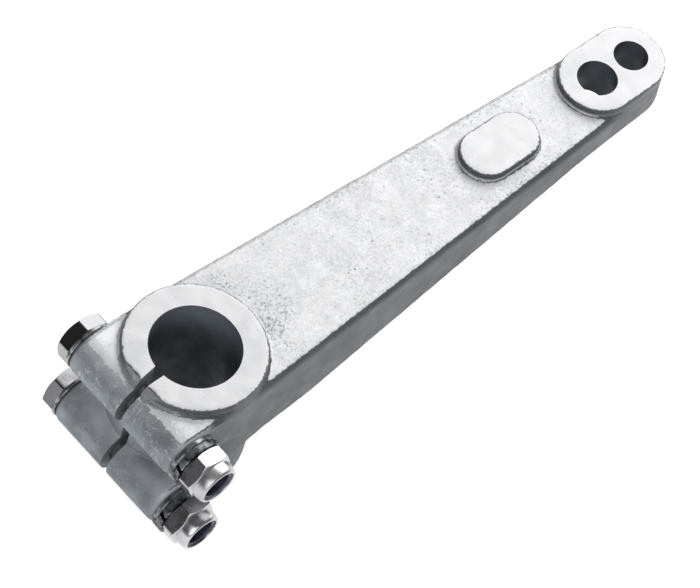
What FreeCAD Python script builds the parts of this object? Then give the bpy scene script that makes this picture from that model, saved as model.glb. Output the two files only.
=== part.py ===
# Rudder arm: a casting with a split clamp for a round rudder stock, closed by two bolts with lock nuts.
# Millimetres. The stock's axis is Z, the raised ring's face is Z 0, and the arm reaches along +X.
# The bolt heads are on the +Y side and the nuts on the -Y side.
import FreeCAD, Part
import math
import os
import Sketcher

doc = FreeCAD.newDocument("RudderArm")

# Sizes that are set by hand, in millimetres and degrees
driving_sizes = {
    "bore_dia": 30.0,  # stock bore
    "hub_wall": 9.0,  # metal round the bore
    "hub_height": 51.0,  # from the ring's face to the foot of the clamp
    "foot_chamfer": 1.2,  # sloping edge at the hub's foot
    "side_inset": 0.1,  # hub and pads stand this far inside the casting's flat sides
    "pad_height": 3.2,  # ring, oval pad and end pad above the arm's top
    "pad_draft": 9.0,  # slope of their walls
    "slit_width": 4.0,  # slit from the bore out between the lugs
    "lug_radius": 9.2,  # round nose of each lug
    "upper_bolt_wall": 0.4,  # metal between the bore and the upper bolt's hole
    "lower_bolt_wall": 1.25,  # metal between the bore and the lower bolt's hole
    "block_reach": 3.0,  # half the length of the flat clamp side beside the hub
    "inner_round": 2.0,  # round inner corners of the clamp block
    "edge_chamfer": 1.2,  # sloping outer edges of the casting
    "root_depth": 35.9,  # arm's underside below the ring's face, at the stock's axis
    "end_depth": 16.7,  # arm's underside below the ring's face, at its level end
    "level_start": 161.0,  # where the underside turns level
    "underside_blend": 60.0,  # radius of that turn
    "first_hole_reach": 178.0,  # stock's axis to the first end hole
    "first_hole_dia": 14.0,
    "hole_pitch": 16.0,  # first end hole to the second
    "second_hole_dia": 12.0,
    "tip_reach": 11.6,  # second end hole's centre to the arm's tip
    "end_radius": 13.2,  # round end of the arm
    "oval_pad_reach": 132.6,  # stock's axis to the oval pad's centre
    "oval_pad_length": 30.2,
    "oval_pad_width": 18.1,
    "bolt_dia": 10.0,
    "bolt_hole_gap": 0.5,  # bolt's hole wider than the bolt
    "across_flats": 16.0,  # bolt heads and nuts
    "head_height": 5.3,
    "chamfer_slope": 30.0,  # chamfer on the hexagons' corners
    "nut_corner_circle": 15.4,  # inner circle of the chamfer on a nut's corners
    "head_corner_circle": 15.0,  # the same on a bolt head
    "washer_dia": 18.0,  # plain washers on both sides
    "head_washer_thick": 1.2,
    "nut_washer_thick": 1.6,
    "spring_washer_dia": 18.1,
    "spring_washer_thick": 2.5,
    "spring_washer_split": 1.6,  # width of its cut
    "split_lean": 25.0,  # slope of its cut
    "nut_height": 9.7,
    "nut_hex_height": 5.6,
    "collar_dia": 14.8,  # round collar on the nut
    "collar_mouth_dia": 11.8,  # rolled lip that holds the nylon ring
    "collar_lip": 0.7,  # thickness of that lip
    "collar_straight": 1.4,  # straight stretch of the collar above the hexagon
    "nylon_seat": 6.8,  # nut's base to the nylon ring
    "nylon_dia": 13.4,
    "nylon_hole_dia": 9.2,
    "thread_gap": 0.1,  # nut's hole wider than the bolt
    "tip_gap": 0.1,  # bolt's tip short of the nylon ring
    "upper_head_turn": 37.5,  # turn of a hexagon's corner about the bolt, from +X towards +Z
    "lower_head_turn": 3.6,
    "upper_nut_turn": 49.5,
    "lower_nut_turn": 48.0,
    "split_turn": 152.0,  # where the spring washers are cut
}

# Sizes that follow from them
worked_sizes = {
    "hub_radius": "Sizes.bore_dia / 2 + Sizes.hub_wall",
    "barrel_radius": "Sizes.bore_dia / 2 + Sizes.hub_wall - Sizes.side_inset",
    "bolt_hole_dia": "Sizes.bolt_dia + Sizes.bolt_hole_gap",
    "upper_bolt_x": "Sizes.bore_dia / 2 + Sizes.upper_bolt_wall + (Sizes.bolt_dia + Sizes.bolt_hole_gap) / 2",
    "lower_bolt_x": "Sizes.bore_dia / 2 + Sizes.lower_bolt_wall + (Sizes.bolt_dia + Sizes.bolt_hole_gap) / 2",
    "upper_bolt_depth": "Sizes.pad_height + Sizes.lug_radius",
    "lower_bolt_depth": "Sizes.hub_height - Sizes.lug_radius",
    "upper_lug_foot": "Sizes.pad_height + 2 * Sizes.lug_radius",
    "lower_lug_top": "Sizes.hub_height - 2 * Sizes.lug_radius",
    "second_hole_x": "Sizes.first_hole_reach + Sizes.hole_pitch",
    "tip_x": "Sizes.first_hole_reach + Sizes.hole_pitch + Sizes.tip_reach",
    "end_centre_x": "Sizes.first_hole_reach + Sizes.hole_pitch + Sizes.tip_reach - Sizes.end_radius",
    "side_sine": "(Worked.hub_radius - Sizes.end_radius) / Worked.end_centre_x",
    "side_cosine": "sqrt(1 - Worked.side_sine * Worked.side_sine)",
    "underside_slope": "atan((Sizes.root_depth - Sizes.end_depth) / Sizes.level_start)",
    "blend_touch": "Sizes.underside_blend * tan(Worked.underside_slope / 2)",
    "block_underside": "Sizes.root_depth - (Sizes.root_depth - Sizes.end_depth) * Sizes.block_reach"
    " / Sizes.level_start",
    "pad_rise": "Sizes.pad_height + Sizes.edge_chamfer",
    "pad_flare": "tan(Sizes.pad_draft * 1 deg) * (Sizes.pad_height + Sizes.edge_chamfer)",
    "end_pad_foot_radius": "Worked.hub_radius - Sizes.first_hole_reach * Worked.side_sine - Sizes.side_inset",
    "end_pad_tip_radius": "Sizes.end_radius - Sizes.side_inset",
    "facet_start": "Worked.upper_bolt_x - Worked.upper_bolt_depth + sqrt(2) * Sizes.lug_radius",
    "hex_radius": "Sizes.across_flats / 2 / cos(30 deg)",
    "head_seat": "Worked.hub_radius + Sizes.head_washer_thick",
    "spring_washer_seat": "Worked.hub_radius + Sizes.nut_washer_thick",
    "nut_seat": "Worked.hub_radius + Sizes.nut_washer_thick + Sizes.spring_washer_thick",
    "bolt_length": "Worked.head_seat + Worked.nut_seat + Sizes.nylon_seat - Sizes.tip_gap",
}


def fill_sheet(name, rows, lead):
    """A sheet with one row for each size: its name, and its value under an alias of that name."""
    page = doc.addObject("Spreadsheet::Sheet", name)
    for row, (alias, value) in enumerate(rows.items(), start=1):
        page.set(f"A{row}", alias)
        page.set(f"B{row}", f"{lead}{value}")
        page.setAlias(f"B{row}", alias)
        doc.recompute()
    return page


sizes = fill_sheet("Sizes", driving_sizes, "")
worked = fill_sheet("Worked", worked_sizes, "=")


def amount(expression):
    """The number that an expression on the sheets gives."""
    return float(sizes.evalExpression(expression))


def new_body(label):
    body = doc.addObject("PartDesign::Body", label)
    body.Label = label
    return body


def new_sketch(body, name, plane, lift=None):
    """A sketch on one of the body's own planes, or lifted off it by an expression."""
    sketch = body.newObject("Sketcher::SketchObject", name)
    support = next(item for item in body.Origin.OriginFeatures if item.Role == plane)
    sketch.AttachmentSupport = (support, [""])
    sketch.MapMode = "FlatFace"
    if lift:
        sketch.setExpression("AttachmentOffset.Base.z", lift)
    return sketch


def bind(sketch, kind, *picks):
    """A constraint whose last pick is the expression for its value."""
    expression = picks[-1]
    index = sketch.addConstraint(Sketcher.Constraint(kind, *picks[:-1], amount(expression)))
    sketch.setExpression(f"Constraints[{index}]", expression)


def place(sketch, geometry, point, across, up):
    """Holds one point of a line or arc at its distances from the sketch's origin."""
    bind(sketch, "DistanceX", -1, 1, geometry, point, across)
    bind(sketch, "DistanceY", -1, 1, geometry, point, up)


def add_circle(sketch, across, up, diameter):
    centre = FreeCAD.Vector(amount(across), amount(up), 0)
    circle = sketch.addGeometry(Part.Circle(centre, FreeCAD.Vector(0, 0, 1), amount(diameter) / 2), False)
    place(sketch, circle, 3, across, up)
    bind(sketch, "Diameter", circle, diameter)


def add_outline(sketch, stops):
    """A closed outline through the stops.

    A stop is its two distances from the origin. A third item makes the stretch to the next stop an arc:
    a point that the arc passes, and which distance of its centre is held, with that distance.
    """
    corners = [FreeCAD.Vector(amount(stop[0]), amount(stop[1]), 0) for stop in stops]
    pieces = []
    for index, stop in enumerate(stops):
        start = corners[index]
        end = corners[(index + 1) % len(stops)]
        if len(stop) == 2:
            piece = sketch.addGeometry(Part.LineSegment(start, end), False)
            pieces.append((piece, 1, 2))
            continue
        via, held, distance = stop[2]
        middle = FreeCAD.Vector(amount(via[0]), amount(via[1]), 0)
        through = Part.Circle(start, middle, end)
        centre = through.Center
        circle = Part.Circle(centre, FreeCAD.Vector(0, 0, 1), through.Radius)
        leftwards = (middle - start).cross(end - middle).z > 0
        ends = (start, end) if leftwards else (end, start)
        angles = [math.atan2(point.y - centre.y, point.x - centre.x) for point in ends]
        piece = sketch.addGeometry(Part.ArcOfCircle(circle, *angles), False)
        pieces.append((piece, 1, 2) if leftwards else (piece, 2, 1))
        bind(sketch, held, -1, 1, piece, 3, distance)
    for index, (piece, start, end) in enumerate(pieces):
        following, first, _ = pieces[(index + 1) % len(pieces)]
        sketch.addConstraint(Sketcher.Constraint("Coincident", piece, end, following, first))
        place(sketch, piece, start, stops[index][0], stops[index][1])


def pad(body, name, sketch, length, both_ways=False, downwards=False):
    feature = body.newObject("PartDesign::Pad", name)
    feature.Profile = (sketch, [""])
    feature.setExpression("Length", length)
    feature.SideType = "Symmetric" if both_ways else "One side"
    feature.Reversed = downwards
    return feature


def cut_through(body, name, sketch, both_ways=True, reverse=False):
    feature = body.newObject("PartDesign::Pocket", name)
    feature.Profile = (sketch, [""])
    feature.Type = "ThroughAll"
    feature.SideType = "Symmetric" if both_ways else "One side"
    feature.Reversed = reverse
    return feature


def turn(body, name, sketch, kind="Revolution"):
    """A full turn of the sketch about its upright axis, added to the body, or cut from it by a Groove."""
    feature = body.newObject(f"PartDesign::{kind}", name)
    feature.Profile = (sketch, [""])
    feature.ReferenceAxis = (sketch, ["V_Axis"])
    feature.Angle = 360
    return feature


def dress(body, kind, name, value, wanted):
    """A fillet or chamfer on each edge of the body's last shape that the test wants."""
    doc.recompute()
    base = body.Tip
    names = [f"Edge{index}" for index, edge in enumerate(base.Shape.Edges, start=1) if wanted(edge)]
    feature = body.newObject(f"PartDesign::{kind}", name)
    feature.Base = (base, names)
    feature.setExpression("Radius" if kind == "Fillet" else "Size", value)
    return feature


def edge_middle(edge):
    return edge.valueAt((edge.FirstParameter + edge.LastParameter) / 2)


def crosses_at(edge, across, up):
    """Whether the edge runs straight along Y at this X and Z."""
    middle = edge_middle(edge)
    along = abs(edge.tangentAt(edge.FirstParameter).y) > 0.999
    return along and abs(middle.x - amount(across)) < 0.01 and abs(middle.z - amount(up)) < 0.01


def add_end_outline(sketch, wide):
    """The end pad's outline: a round of this radius about the first hole, and the arm's round tip."""
    slim = "Worked.end_pad_tip_radius"
    lean = f"(({wide} - {slim}) / (Worked.end_centre_x - Sizes.first_hole_reach))"
    side = f"sqrt(1 - {lean} * {lean})"
    add_outline(sketch, [
        (f"Sizes.first_hole_reach + {wide} * {lean}", f"-{wide} * {side}"),
        (f"Worked.end_centre_x + {slim} * {lean}", f"-{slim} * {side}",
         ((f"Worked.end_centre_x + {slim}", "0"), "DistanceX", "Worked.end_centre_x")),
        (f"Worked.end_centre_x + {slim} * {lean}", f"{slim} * {side}"),
        (f"Sizes.first_hole_reach + {wide} * {lean}", f"{wide} * {side}",
         ((f"Sizes.first_hole_reach - {wide}", "0"), "DistanceX", "Sizes.first_hole_reach")),
    ])


def make_casting():
    """The casting: hub, ring, clamp lugs, arm and pads in one piece."""
    body = new_body("arm_casting")

    # Side view of arm and clamp block: two round noses with a valley between them, and the rising underside
    side = new_sketch(body, "SideView", "XZ_Plane")
    add_outline(side, [
        ("Worked.tip_x + Sizes.end_radius", "-Sizes.pad_height"),
        ("-Worked.upper_bolt_x", "-Sizes.pad_height",
         (("-Worked.upper_bolt_x - Sizes.lug_radius", "-Worked.upper_bolt_depth"),
          "DistanceX", "-Worked.upper_bolt_x")),
        ("-Worked.upper_bolt_x", "-Worked.upper_lug_foot"),
        ("-Sizes.block_reach", "-Worked.upper_lug_foot"),
        ("-Sizes.block_reach", "-Worked.lower_lug_top"),
        ("-Worked.lower_bolt_x", "-Worked.lower_lug_top",
         (("-Worked.lower_bolt_x - Sizes.lug_radius", "-Worked.lower_bolt_depth"),
          "DistanceX", "-Worked.lower_bolt_x")),
        ("-Worked.lower_bolt_x", "-Sizes.hub_height"),
        ("Sizes.block_reach", "-Sizes.hub_height"),
        ("Sizes.block_reach", "-Worked.block_underside"),
        ("Sizes.level_start - Worked.blend_touch * cos(Worked.underside_slope)",
         "-Sizes.end_depth - Worked.blend_touch * sin(Worked.underside_slope)",
         (("Sizes.level_start + Worked.blend_touch - Sizes.underside_blend * sin(Worked.underside_slope / 2)",
           "-Sizes.end_depth - Sizes.underside_blend * (1 - cos(Worked.underside_slope / 2))"),
          "DistanceY", "-Sizes.end_depth - Sizes.underside_blend")),
        ("Sizes.level_start + Worked.blend_touch", "-Sizes.end_depth"),
        ("Worked.tip_x + Sizes.end_radius", "-Sizes.end_depth"),
    ])
    pad(body, "ArmAndLugs", side, "4 * Worked.hub_radius", both_ways=True)

    # Top view: everything outside the tapering sides and the round end is cut away
    plan = new_sketch(body, "TopView", "XY_Plane")
    frame_x = "Worked.tip_x + 2 * Sizes.end_radius"
    frame_back = "-4 * Worked.hub_radius"
    add_outline(plan, [
        (frame_back, "-3 * Worked.hub_radius"),
        (frame_x, "-3 * Worked.hub_radius"),
        (frame_x, "3 * Worked.hub_radius"),
        (frame_back, "3 * Worked.hub_radius"),
    ])
    hub_side = "Worked.hub_radius * Worked.side_cosine"
    end_side = "Sizes.end_radius * Worked.side_cosine"
    hub_touch = "Worked.hub_radius * Worked.side_sine"
    end_touch = "Worked.end_centre_x + Sizes.end_radius * Worked.side_sine"
    half_touch = f"{hub_touch} / 2"
    half_side = f"sqrt(Worked.hub_radius * Worked.hub_radius - {half_touch} * {half_touch})"
    add_outline(plan, [
        ("-3 * Worked.hub_radius", "-Worked.hub_radius"),
        ("0", "-Worked.hub_radius", ((half_touch, f"-{half_side}"), "DistanceY", "0")),
        (hub_touch, f"-{hub_side}"),
        (end_touch, f"-{end_side}", (("Worked.tip_x", "0"), "DistanceX", "Worked.end_centre_x")),
        (end_touch, end_side),
        (hub_touch, hub_side, ((half_touch, half_side), "DistanceY", "0")),
        ("0", "Worked.hub_radius"),
        ("-3 * Worked.hub_radius", "Worked.hub_radius"),
    ])
    cut_through(body, "Sides", plan)

    # Round inner corners of the block
    corners = (
        ("-Sizes.block_reach", "-Worked.upper_lug_foot"),
        ("-Sizes.block_reach", "-Worked.lower_lug_top"),
        ("Sizes.block_reach", "-Sizes.hub_height"),
        ("Sizes.block_reach", "-Worked.block_underside"),
    )
    dress(body, "Fillet", "BlockCorners", "Sizes.inner_round",
          lambda edge: any(crosses_at(edge, *corner) for corner in corners))

    # One sloping edge follows the whole outline of both sides, so its start on each side is enough
    dress(body, "Chamfer", "SlopingEdges", "Sizes.edge_chamfer",
          lambda edge: abs(edge_middle(edge).z + amount("Sizes.pad_height")) < 0.01
          and edge_middle(edge).x > amount("Sizes.bore_dia")
          and abs(edge.tangentAt(edge.FirstParameter).y) < 0.5)

    # Hub and raised ring, turned about the stock's axis
    hub = new_sketch(body, "HubSection", "XZ_Plane")
    add_outline(hub, [
        ("0", "-Sizes.hub_height"),
        ("Worked.barrel_radius - Sizes.foot_chamfer", "-Sizes.hub_height"),
        ("Worked.barrel_radius", "-Sizes.hub_height + Sizes.foot_chamfer"),
        ("Worked.barrel_radius", "-Worked.pad_rise"),
        ("Worked.barrel_radius - Worked.pad_flare", "0"),
        ("0", "0"),
    ])
    turn(body, "Hub", hub)

    # The ring ends in a flat facet that leans down to the upper lug's nose
    facet = new_sketch(body, "FacetSection", "XZ_Plane")
    add_outline(facet, [
        ("-Worked.hub_radius", "Worked.facet_start - Worked.hub_radius"),
        ("Sizes.pad_height - Worked.facet_start", "Sizes.pad_height"),
        ("-Worked.hub_radius", "Sizes.pad_height"),
    ])
    cut_through(body, "RingFacet", facet)

    # Oval pad and end pad, with sloping walls
    lift = "-Worked.pad_rise"
    oval = new_sketch(body, "OvalPadOutline", "XY_Plane", lift)
    oval_radius = "(Sizes.oval_pad_width / 2 + Worked.pad_flare)"
    oval_half = "(Sizes.oval_pad_length - Sizes.oval_pad_width) / 2"
    oval_left = f"Sizes.oval_pad_reach - {oval_half}"
    oval_right = f"Sizes.oval_pad_reach + {oval_half}"
    add_outline(oval, [
        (oval_left, f"-{oval_radius}"),
        (oval_right, f"-{oval_radius}", ((f"{oval_right} + {oval_radius}", "0"), "DistanceX", oval_right)),
        (oval_right, oval_radius),
        (oval_left, oval_radius, ((f"{oval_left} - {oval_radius}", "0"), "DistanceX", oval_left)),
    ])
    raised = pad(body, "OvalPad", oval, "Worked.pad_rise")
    raised.setExpression("TaperAngle", "-Sizes.pad_draft")
    foot = new_sketch(body, "EndPadFoot", "XY_Plane", lift)
    face = new_sketch(body, "EndPadFace", "XY_Plane")
    add_end_outline(foot, "Worked.end_pad_foot_radius")
    add_end_outline(face, "(Worked.end_pad_foot_radius - Worked.pad_flare)")
    end = body.newObject("PartDesign::AdditiveLoft", "EndPad")
    end.Profile = (foot, [""])
    end.Sections = [(face, [""])]
    end.Ruled = True

    # Stock bore, end holes, slit and bolt holes
    bore = new_sketch(body, "BoreOutline", "XY_Plane")
    add_circle(bore, "0", "0", "Sizes.bore_dia")
    add_circle(bore, "Sizes.first_hole_reach", "0", "Sizes.first_hole_dia")
    add_circle(bore, "Worked.second_hole_x", "0", "Sizes.second_hole_dia")
    cut_through(body, "BoreAndEndHoles", bore)
    slit = new_sketch(body, "SlitOutline", "XY_Plane")
    add_outline(slit, [
        ("-3 * Worked.hub_radius", "-Sizes.slit_width / 2"),
        ("0", "-Sizes.slit_width / 2"),
        ("0", "Sizes.slit_width / 2"),
        ("-3 * Worked.hub_radius", "Sizes.slit_width / 2"),
    ])
    cut_through(body, "Slit", slit)
    holes = new_sketch(body, "BoltHoleOutline", "XZ_Plane")
    add_circle(holes, "-Worked.upper_bolt_x", "-Worked.upper_bolt_depth", "Worked.bolt_hole_dia")
    add_circle(holes, "-Worked.lower_bolt_x", "-Worked.lower_bolt_depth", "Worked.bolt_hole_dia")
    cut_through(body, "BoltHoles", holes)
    return body


def add_hexagon(body, length, downwards=False):
    outline = new_sketch(body, "Hexagon", "XY_Plane")
    add_outline(outline, [
        (f"Worked.hex_radius * cos({angle} deg)", f"Worked.hex_radius * sin({angle} deg)")
        for angle in range(0, 360, 60)
    ])
    pad(body, "HexagonPad", outline, length, downwards=downwards)


def chamfer_hexagon(body, level, outwards, circle):
    """Cuts the hexagon's corners off in a cone at one end, outwards being 1 or -1 along the bolt."""
    section = new_sketch(body, "CornerSection", "XZ_Plane")
    inner = f"{circle} / 2"
    outer = "Sizes.across_flats"
    drop = f"({outer} - {inner}) * tan(Sizes.chamfer_slope * 1 deg)"
    add_outline(section, [
        (inner, level),
        (outer, f"{level} - {outwards} * {drop}"),
        (outer, f"{level} + {outwards} * Sizes.across_flats / 4"),
        (inner, f"{level} + {outwards} * Sizes.across_flats / 4"),
    ])
    turn(body, "Corners", section, "Groove")


def make_bolt(label):
    """Hexagon bolt. Its seat is at 0, the head below it and the shank above."""
    body = new_body(label)
    shank = new_sketch(body, "ShankSection", "XZ_Plane")
    add_outline(shank, [
        ("0", "0"),
        ("Sizes.bolt_dia / 2", "0"),
        ("Sizes.bolt_dia / 2", "Worked.bolt_length"),
        ("0", "Worked.bolt_length"),
    ])
    turn(body, "Shank", shank)
    add_hexagon(body, "Sizes.head_height", downwards=True)
    chamfer_hexagon(body, "-Sizes.head_height", -1, "Sizes.head_corner_circle")
    return body


def make_plain_washer(label, thickness):
    """Flat washer that stands on 0."""
    body = new_body(label)
    section = new_sketch(body, "WasherSection", "XZ_Plane")
    add_outline(section, [
        ("Worked.bolt_hole_dia / 2", "0"),
        ("Sizes.washer_dia / 2", "0"),
        ("Sizes.washer_dia / 2", thickness),
        ("Worked.bolt_hole_dia / 2", thickness),
    ])
    turn(body, "Washer", section)
    return body


def make_spring_washer(label):
    """Split spring washer, pressed flat, with one slanting cut on its +X side."""
    body = new_body(label)
    outline = new_sketch(body, "RingOutline", "XY_Plane")
    add_circle(outline, "0", "0", "Worked.bolt_hole_dia")
    add_circle(outline, "0", "0", "Sizes.spring_washer_dia")
    pad(body, "Ring", outline, "Sizes.spring_washer_thick")
    cut = new_sketch(body, "SplitOutline", "YZ_Plane")
    thick = "Sizes.spring_washer_thick"
    half = "Sizes.spring_washer_split / 2"
    lean = f"1.5 * {thick} * tan(Sizes.split_lean * 1 deg)"
    add_outline(cut, [
        (f"-{half} - {lean}", f"-{thick}"),
        (f"{half} - {lean}", f"-{thick}"),
        (f"{half} + {lean}", f"2 * {thick}"),
        (f"-{half} + {lean}", f"2 * {thick}"),
    ])
    cut_through(body, "Split", cut, both_ways=False, reverse=True)
    return body


def make_lock_nut(label):
    """Hexagon nut that stands on 0, with a collar that narrows to the lip at its mouth."""
    body = new_body(label)
    add_hexagon(body, "Sizes.nut_hex_height")
    chamfer_hexagon(body, "Sizes.nut_hex_height", 1, "Sizes.nut_corner_circle")
    collar = new_sketch(body, "CollarSection", "XZ_Plane")
    add_outline(collar, [
        ("0", "Sizes.nut_hex_height / 2"),
        ("Sizes.collar_dia / 2", "Sizes.nut_hex_height / 2"),
        ("Sizes.collar_dia / 2", "Sizes.nut_hex_height + Sizes.collar_straight"),
        ("Sizes.collar_mouth_dia / 2 + Sizes.collar_lip", "Sizes.nut_height"),
        ("0", "Sizes.nut_height"),
    ])
    turn(body, "Collar", collar)
    inside = new_sketch(body, "InsideSection", "XZ_Plane")
    thread = "(Sizes.bolt_dia + Sizes.thread_gap) / 2"
    lip = "Sizes.nut_height - Sizes.collar_lip"
    add_outline(inside, [
        ("0", "-Sizes.bolt_dia"),
        (thread, "-Sizes.bolt_dia"),
        (thread, "Sizes.nylon_seat"),
        ("Sizes.nylon_dia / 2", "Sizes.nylon_seat"),
        ("Sizes.nylon_dia / 2", lip),
        ("Sizes.collar_mouth_dia / 2", lip),
        ("Sizes.collar_mouth_dia / 2", "Sizes.nut_height + Sizes.bolt_dia"),
        ("0", "Sizes.nut_height + Sizes.bolt_dia"),
    ])
    turn(body, "Inside", inside, "Groove")
    return body


def make_nylon_ring(label):
    """Nylon ring, placed as it lies in the nut that stands on 0."""
    body = new_body(label)
    section = new_sketch(body, "NylonSection", "XZ_Plane")
    lip = "Sizes.nut_height - Sizes.collar_lip"
    add_outline(section, [
        ("Sizes.nylon_hole_dia / 2", "Sizes.nylon_seat"),
        ("Sizes.nylon_dia / 2", "Sizes.nylon_seat"),
        ("Sizes.nylon_dia / 2", lip),
        ("Sizes.nylon_hole_dia / 2", lip),
    ])
    turn(body, "Nylon", section)
    return body


def seat(body, across, along, up, turned, from_head=False):
    """Lays a piece's own axis along the bolt, towards the nut, or towards the head if from_head."""
    tip_over = FreeCAD.Rotation(FreeCAD.Vector(1, 0, 0), -90 if from_head else 90)
    spin = FreeCAD.Rotation(FreeCAD.Vector(0, 0, 1), -amount(turned) if from_head else amount(turned))
    body.Placement = FreeCAD.Placement(FreeCAD.Vector(0, 0, 0), tip_over * spin)
    body.setExpression("Placement.Base.x", across)
    body.setExpression("Placement.Base.y", along)
    body.setExpression("Placement.Base.z", up)


nodes = [make_casting()]
for level in ("upper", "lower"):
    at_x = f"-Worked.{level}_bolt_x"
    at_z = f"-Worked.{level}_bolt_depth"
    nut_turn = f"Sizes.{level}_nut_turn"
    stack = (
        (make_bolt(f"{level}_clamp_bolt"), "Worked.head_seat", f"Sizes.{level}_head_turn", False),
        (make_plain_washer(f"{level}_head_washer", "Sizes.head_washer_thick"),
         "Worked.hub_radius", "0", True),
        (make_plain_washer(f"{level}_nut_washer", "Sizes.nut_washer_thick"),
         "-Worked.hub_radius", "0", False),
        (make_spring_washer(f"{level}_spring_washer"),
         "-Worked.spring_washer_seat", "Sizes.split_turn", False),
        (make_lock_nut(f"{level}_lock_nut"), "-Worked.nut_seat", nut_turn, False),
        (make_nylon_ring(f"{level}_nylon_ring"), "-Worked.nut_seat", nut_turn, False),
    )
    for piece, along, turned, from_head in stack:
        seat(piece, at_x, along, at_z, turned, from_head)
        nodes.append(piece)
doc.recompute()


def last_change(feature):
    """How much a feature adds to or takes from the shape before it."""
    return feature.Shape.Volume - feature.BaseFeature.Shape.Volume


for item in doc.Objects:
    if "Invalid" in item.State or "Error" in item.State:
        raise RuntimeError(f"{item.Label} could not be made: {item.State}")
    takes_away = item.TypeId in ("PartDesign::Pocket", "PartDesign::Groove", "PartDesign::Chamfer")
    if takes_away and last_change(item) > -0.01:
        raise RuntimeError(f"{item.Label} takes nothing away")
    if item.TypeId in ("PartDesign::Pad", "PartDesign::Revolution") and item.Shape.isNull():
        raise RuntimeError(f"{item.Label} is empty")
for node in nodes:
    if node.Shape.isNull() or not node.Shape.isValid() or len(node.Shape.Solids) != 1:
        raise RuntimeError(f"{node.Label} is not one sound solid")

os.makedirs("parts", exist_ok=True)
for node in nodes:
    node.Shape.exportStep(os.path.join("parts", f"{node.Label}.step"))
    box = node.Shape.BoundBox
    print(f"{node.Label}: {box.XLength:.1f} x {box.YLength:.1f} x {box.ZLength:.1f} mm")
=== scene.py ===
import math
import random
from types import SimpleNamespace

import bmesh
import bpy
from mathutils import Matrix, Vector, noise
from mathutils.geometry import delaunay_2d_cdt
from mathutils.kdtree import KDTree


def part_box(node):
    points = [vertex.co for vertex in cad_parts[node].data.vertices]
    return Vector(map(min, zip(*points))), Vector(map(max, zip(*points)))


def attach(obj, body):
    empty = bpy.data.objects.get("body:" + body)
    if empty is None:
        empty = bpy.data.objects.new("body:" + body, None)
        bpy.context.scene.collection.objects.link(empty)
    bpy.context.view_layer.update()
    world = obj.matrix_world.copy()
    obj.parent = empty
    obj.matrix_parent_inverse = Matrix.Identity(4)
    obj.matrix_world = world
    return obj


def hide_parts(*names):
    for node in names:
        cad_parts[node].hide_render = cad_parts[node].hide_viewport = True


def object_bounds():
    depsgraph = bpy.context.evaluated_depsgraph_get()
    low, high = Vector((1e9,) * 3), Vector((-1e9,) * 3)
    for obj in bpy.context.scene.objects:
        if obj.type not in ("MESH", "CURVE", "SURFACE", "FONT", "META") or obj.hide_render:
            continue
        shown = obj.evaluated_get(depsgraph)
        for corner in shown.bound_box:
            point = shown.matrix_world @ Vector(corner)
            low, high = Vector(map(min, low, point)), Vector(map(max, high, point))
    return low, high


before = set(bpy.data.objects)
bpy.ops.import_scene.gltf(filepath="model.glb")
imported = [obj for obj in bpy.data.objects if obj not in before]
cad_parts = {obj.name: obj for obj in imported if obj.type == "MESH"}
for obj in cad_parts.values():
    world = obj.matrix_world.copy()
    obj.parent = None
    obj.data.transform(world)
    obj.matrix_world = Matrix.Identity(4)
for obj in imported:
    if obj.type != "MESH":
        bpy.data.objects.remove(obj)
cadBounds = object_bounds()
print("frame loaded")

mm = 0.001
mainBody = "root"


# Small helpers for shader nodes

def addNode(tree, kind, **settings):
    made = tree.nodes.new(kind)
    for name, value in settings.items():
        setattr(made, name, value)
    return made


# The tree that the first socket among the values lies in
def treeOf(*values):
    return next(value.id_data for value in values if isinstance(value, bpy.types.NodeSocket))


# Gives a socket another socket, a number or a colour
def feed(socket, value):
    if isinstance(value, bpy.types.NodeSocket):
        socket.id_data.links.new(value, socket)
    else:
        socket.default_value = (*value, 1.0) if isinstance(value, tuple) else value


def mathNode(operation, *values, clamp=False):
    made = addNode(treeOf(*values), "ShaderNodeMath", operation=operation, use_clamp=clamp)
    for socket, value in zip(made.inputs, values):
        feed(socket, value)
    return made.outputs[0]


# One operation over two or more values, from the left
def chain(operation, values, **settings):
    result = values[0]
    for value in values[1:]:
        result = mathNode(operation, result, value, **settings)
    return result


def times(*values):
    return chain("MULTIPLY", values)


def plus(*values, **settings):
    return chain("ADD", values, **settings)


def minus(*values):
    return chain("SUBTRACT", values)


def larger(*values):
    return chain("MAXIMUM", values)


def absolute(value):
    return mathNode("ABSOLUTE", value)


# 1 less the value, which turns a mask round
def opposite(value):
    return minus(1.0, value)


def splitNode(vector):
    made = addNode(treeOf(vector), "ShaderNodeSeparateXYZ")
    feed(made.inputs[0], vector)
    return made.outputs


def noiseNode(coordinates, scale, detail=3.0, roughness=0.55, distortion=0.0):
    made = addNode(treeOf(coordinates), "ShaderNodeTexNoise")
    values = {"Vector": coordinates, "Scale": scale, "Detail": detail, "Roughness": roughness,
              "Distortion": distortion}
    for name, value in values.items():
        feed(made.inputs[name], value)
    return made.outputs["Fac"]


# Maps low to high smoothly onto lowOut to highOut
def ramp(value, low, high, lowOut=0.0, highOut=1.0):
    made = addNode(treeOf(value), "ShaderNodeMapRange", interpolation_type="SMOOTHSTEP")
    values = {"Value": value, "From Min": low, "From Max": high, "To Min": lowOut, "To Max": highOut}
    for name, number in values.items():
        feed(made.inputs[name], number)
    return made.outputs["Result"]


# Mixes two colours; the mix node keeps its colour sockets behind those of its other types
def mixColour(share, first, second):
    made = addNode(treeOf(share), "ShaderNodeMix", data_type="RGBA")
    feed(made.inputs[0], share)
    feed(made.inputs[6], first)
    feed(made.inputs[7], second)
    return made.outputs[2]


def newMaterial(name):
    material = bpy.data.materials.new(name)
    material.use_nodes = True
    tree = material.node_tree
    tree.nodes.clear()
    output = addNode(tree, "ShaderNodeOutputMaterial")
    shader = addNode(tree, "ShaderNodeBsdfPrincipled")
    tree.links.new(shader.outputs[0], output.inputs["Surface"])
    return material, tree, shader


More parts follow.
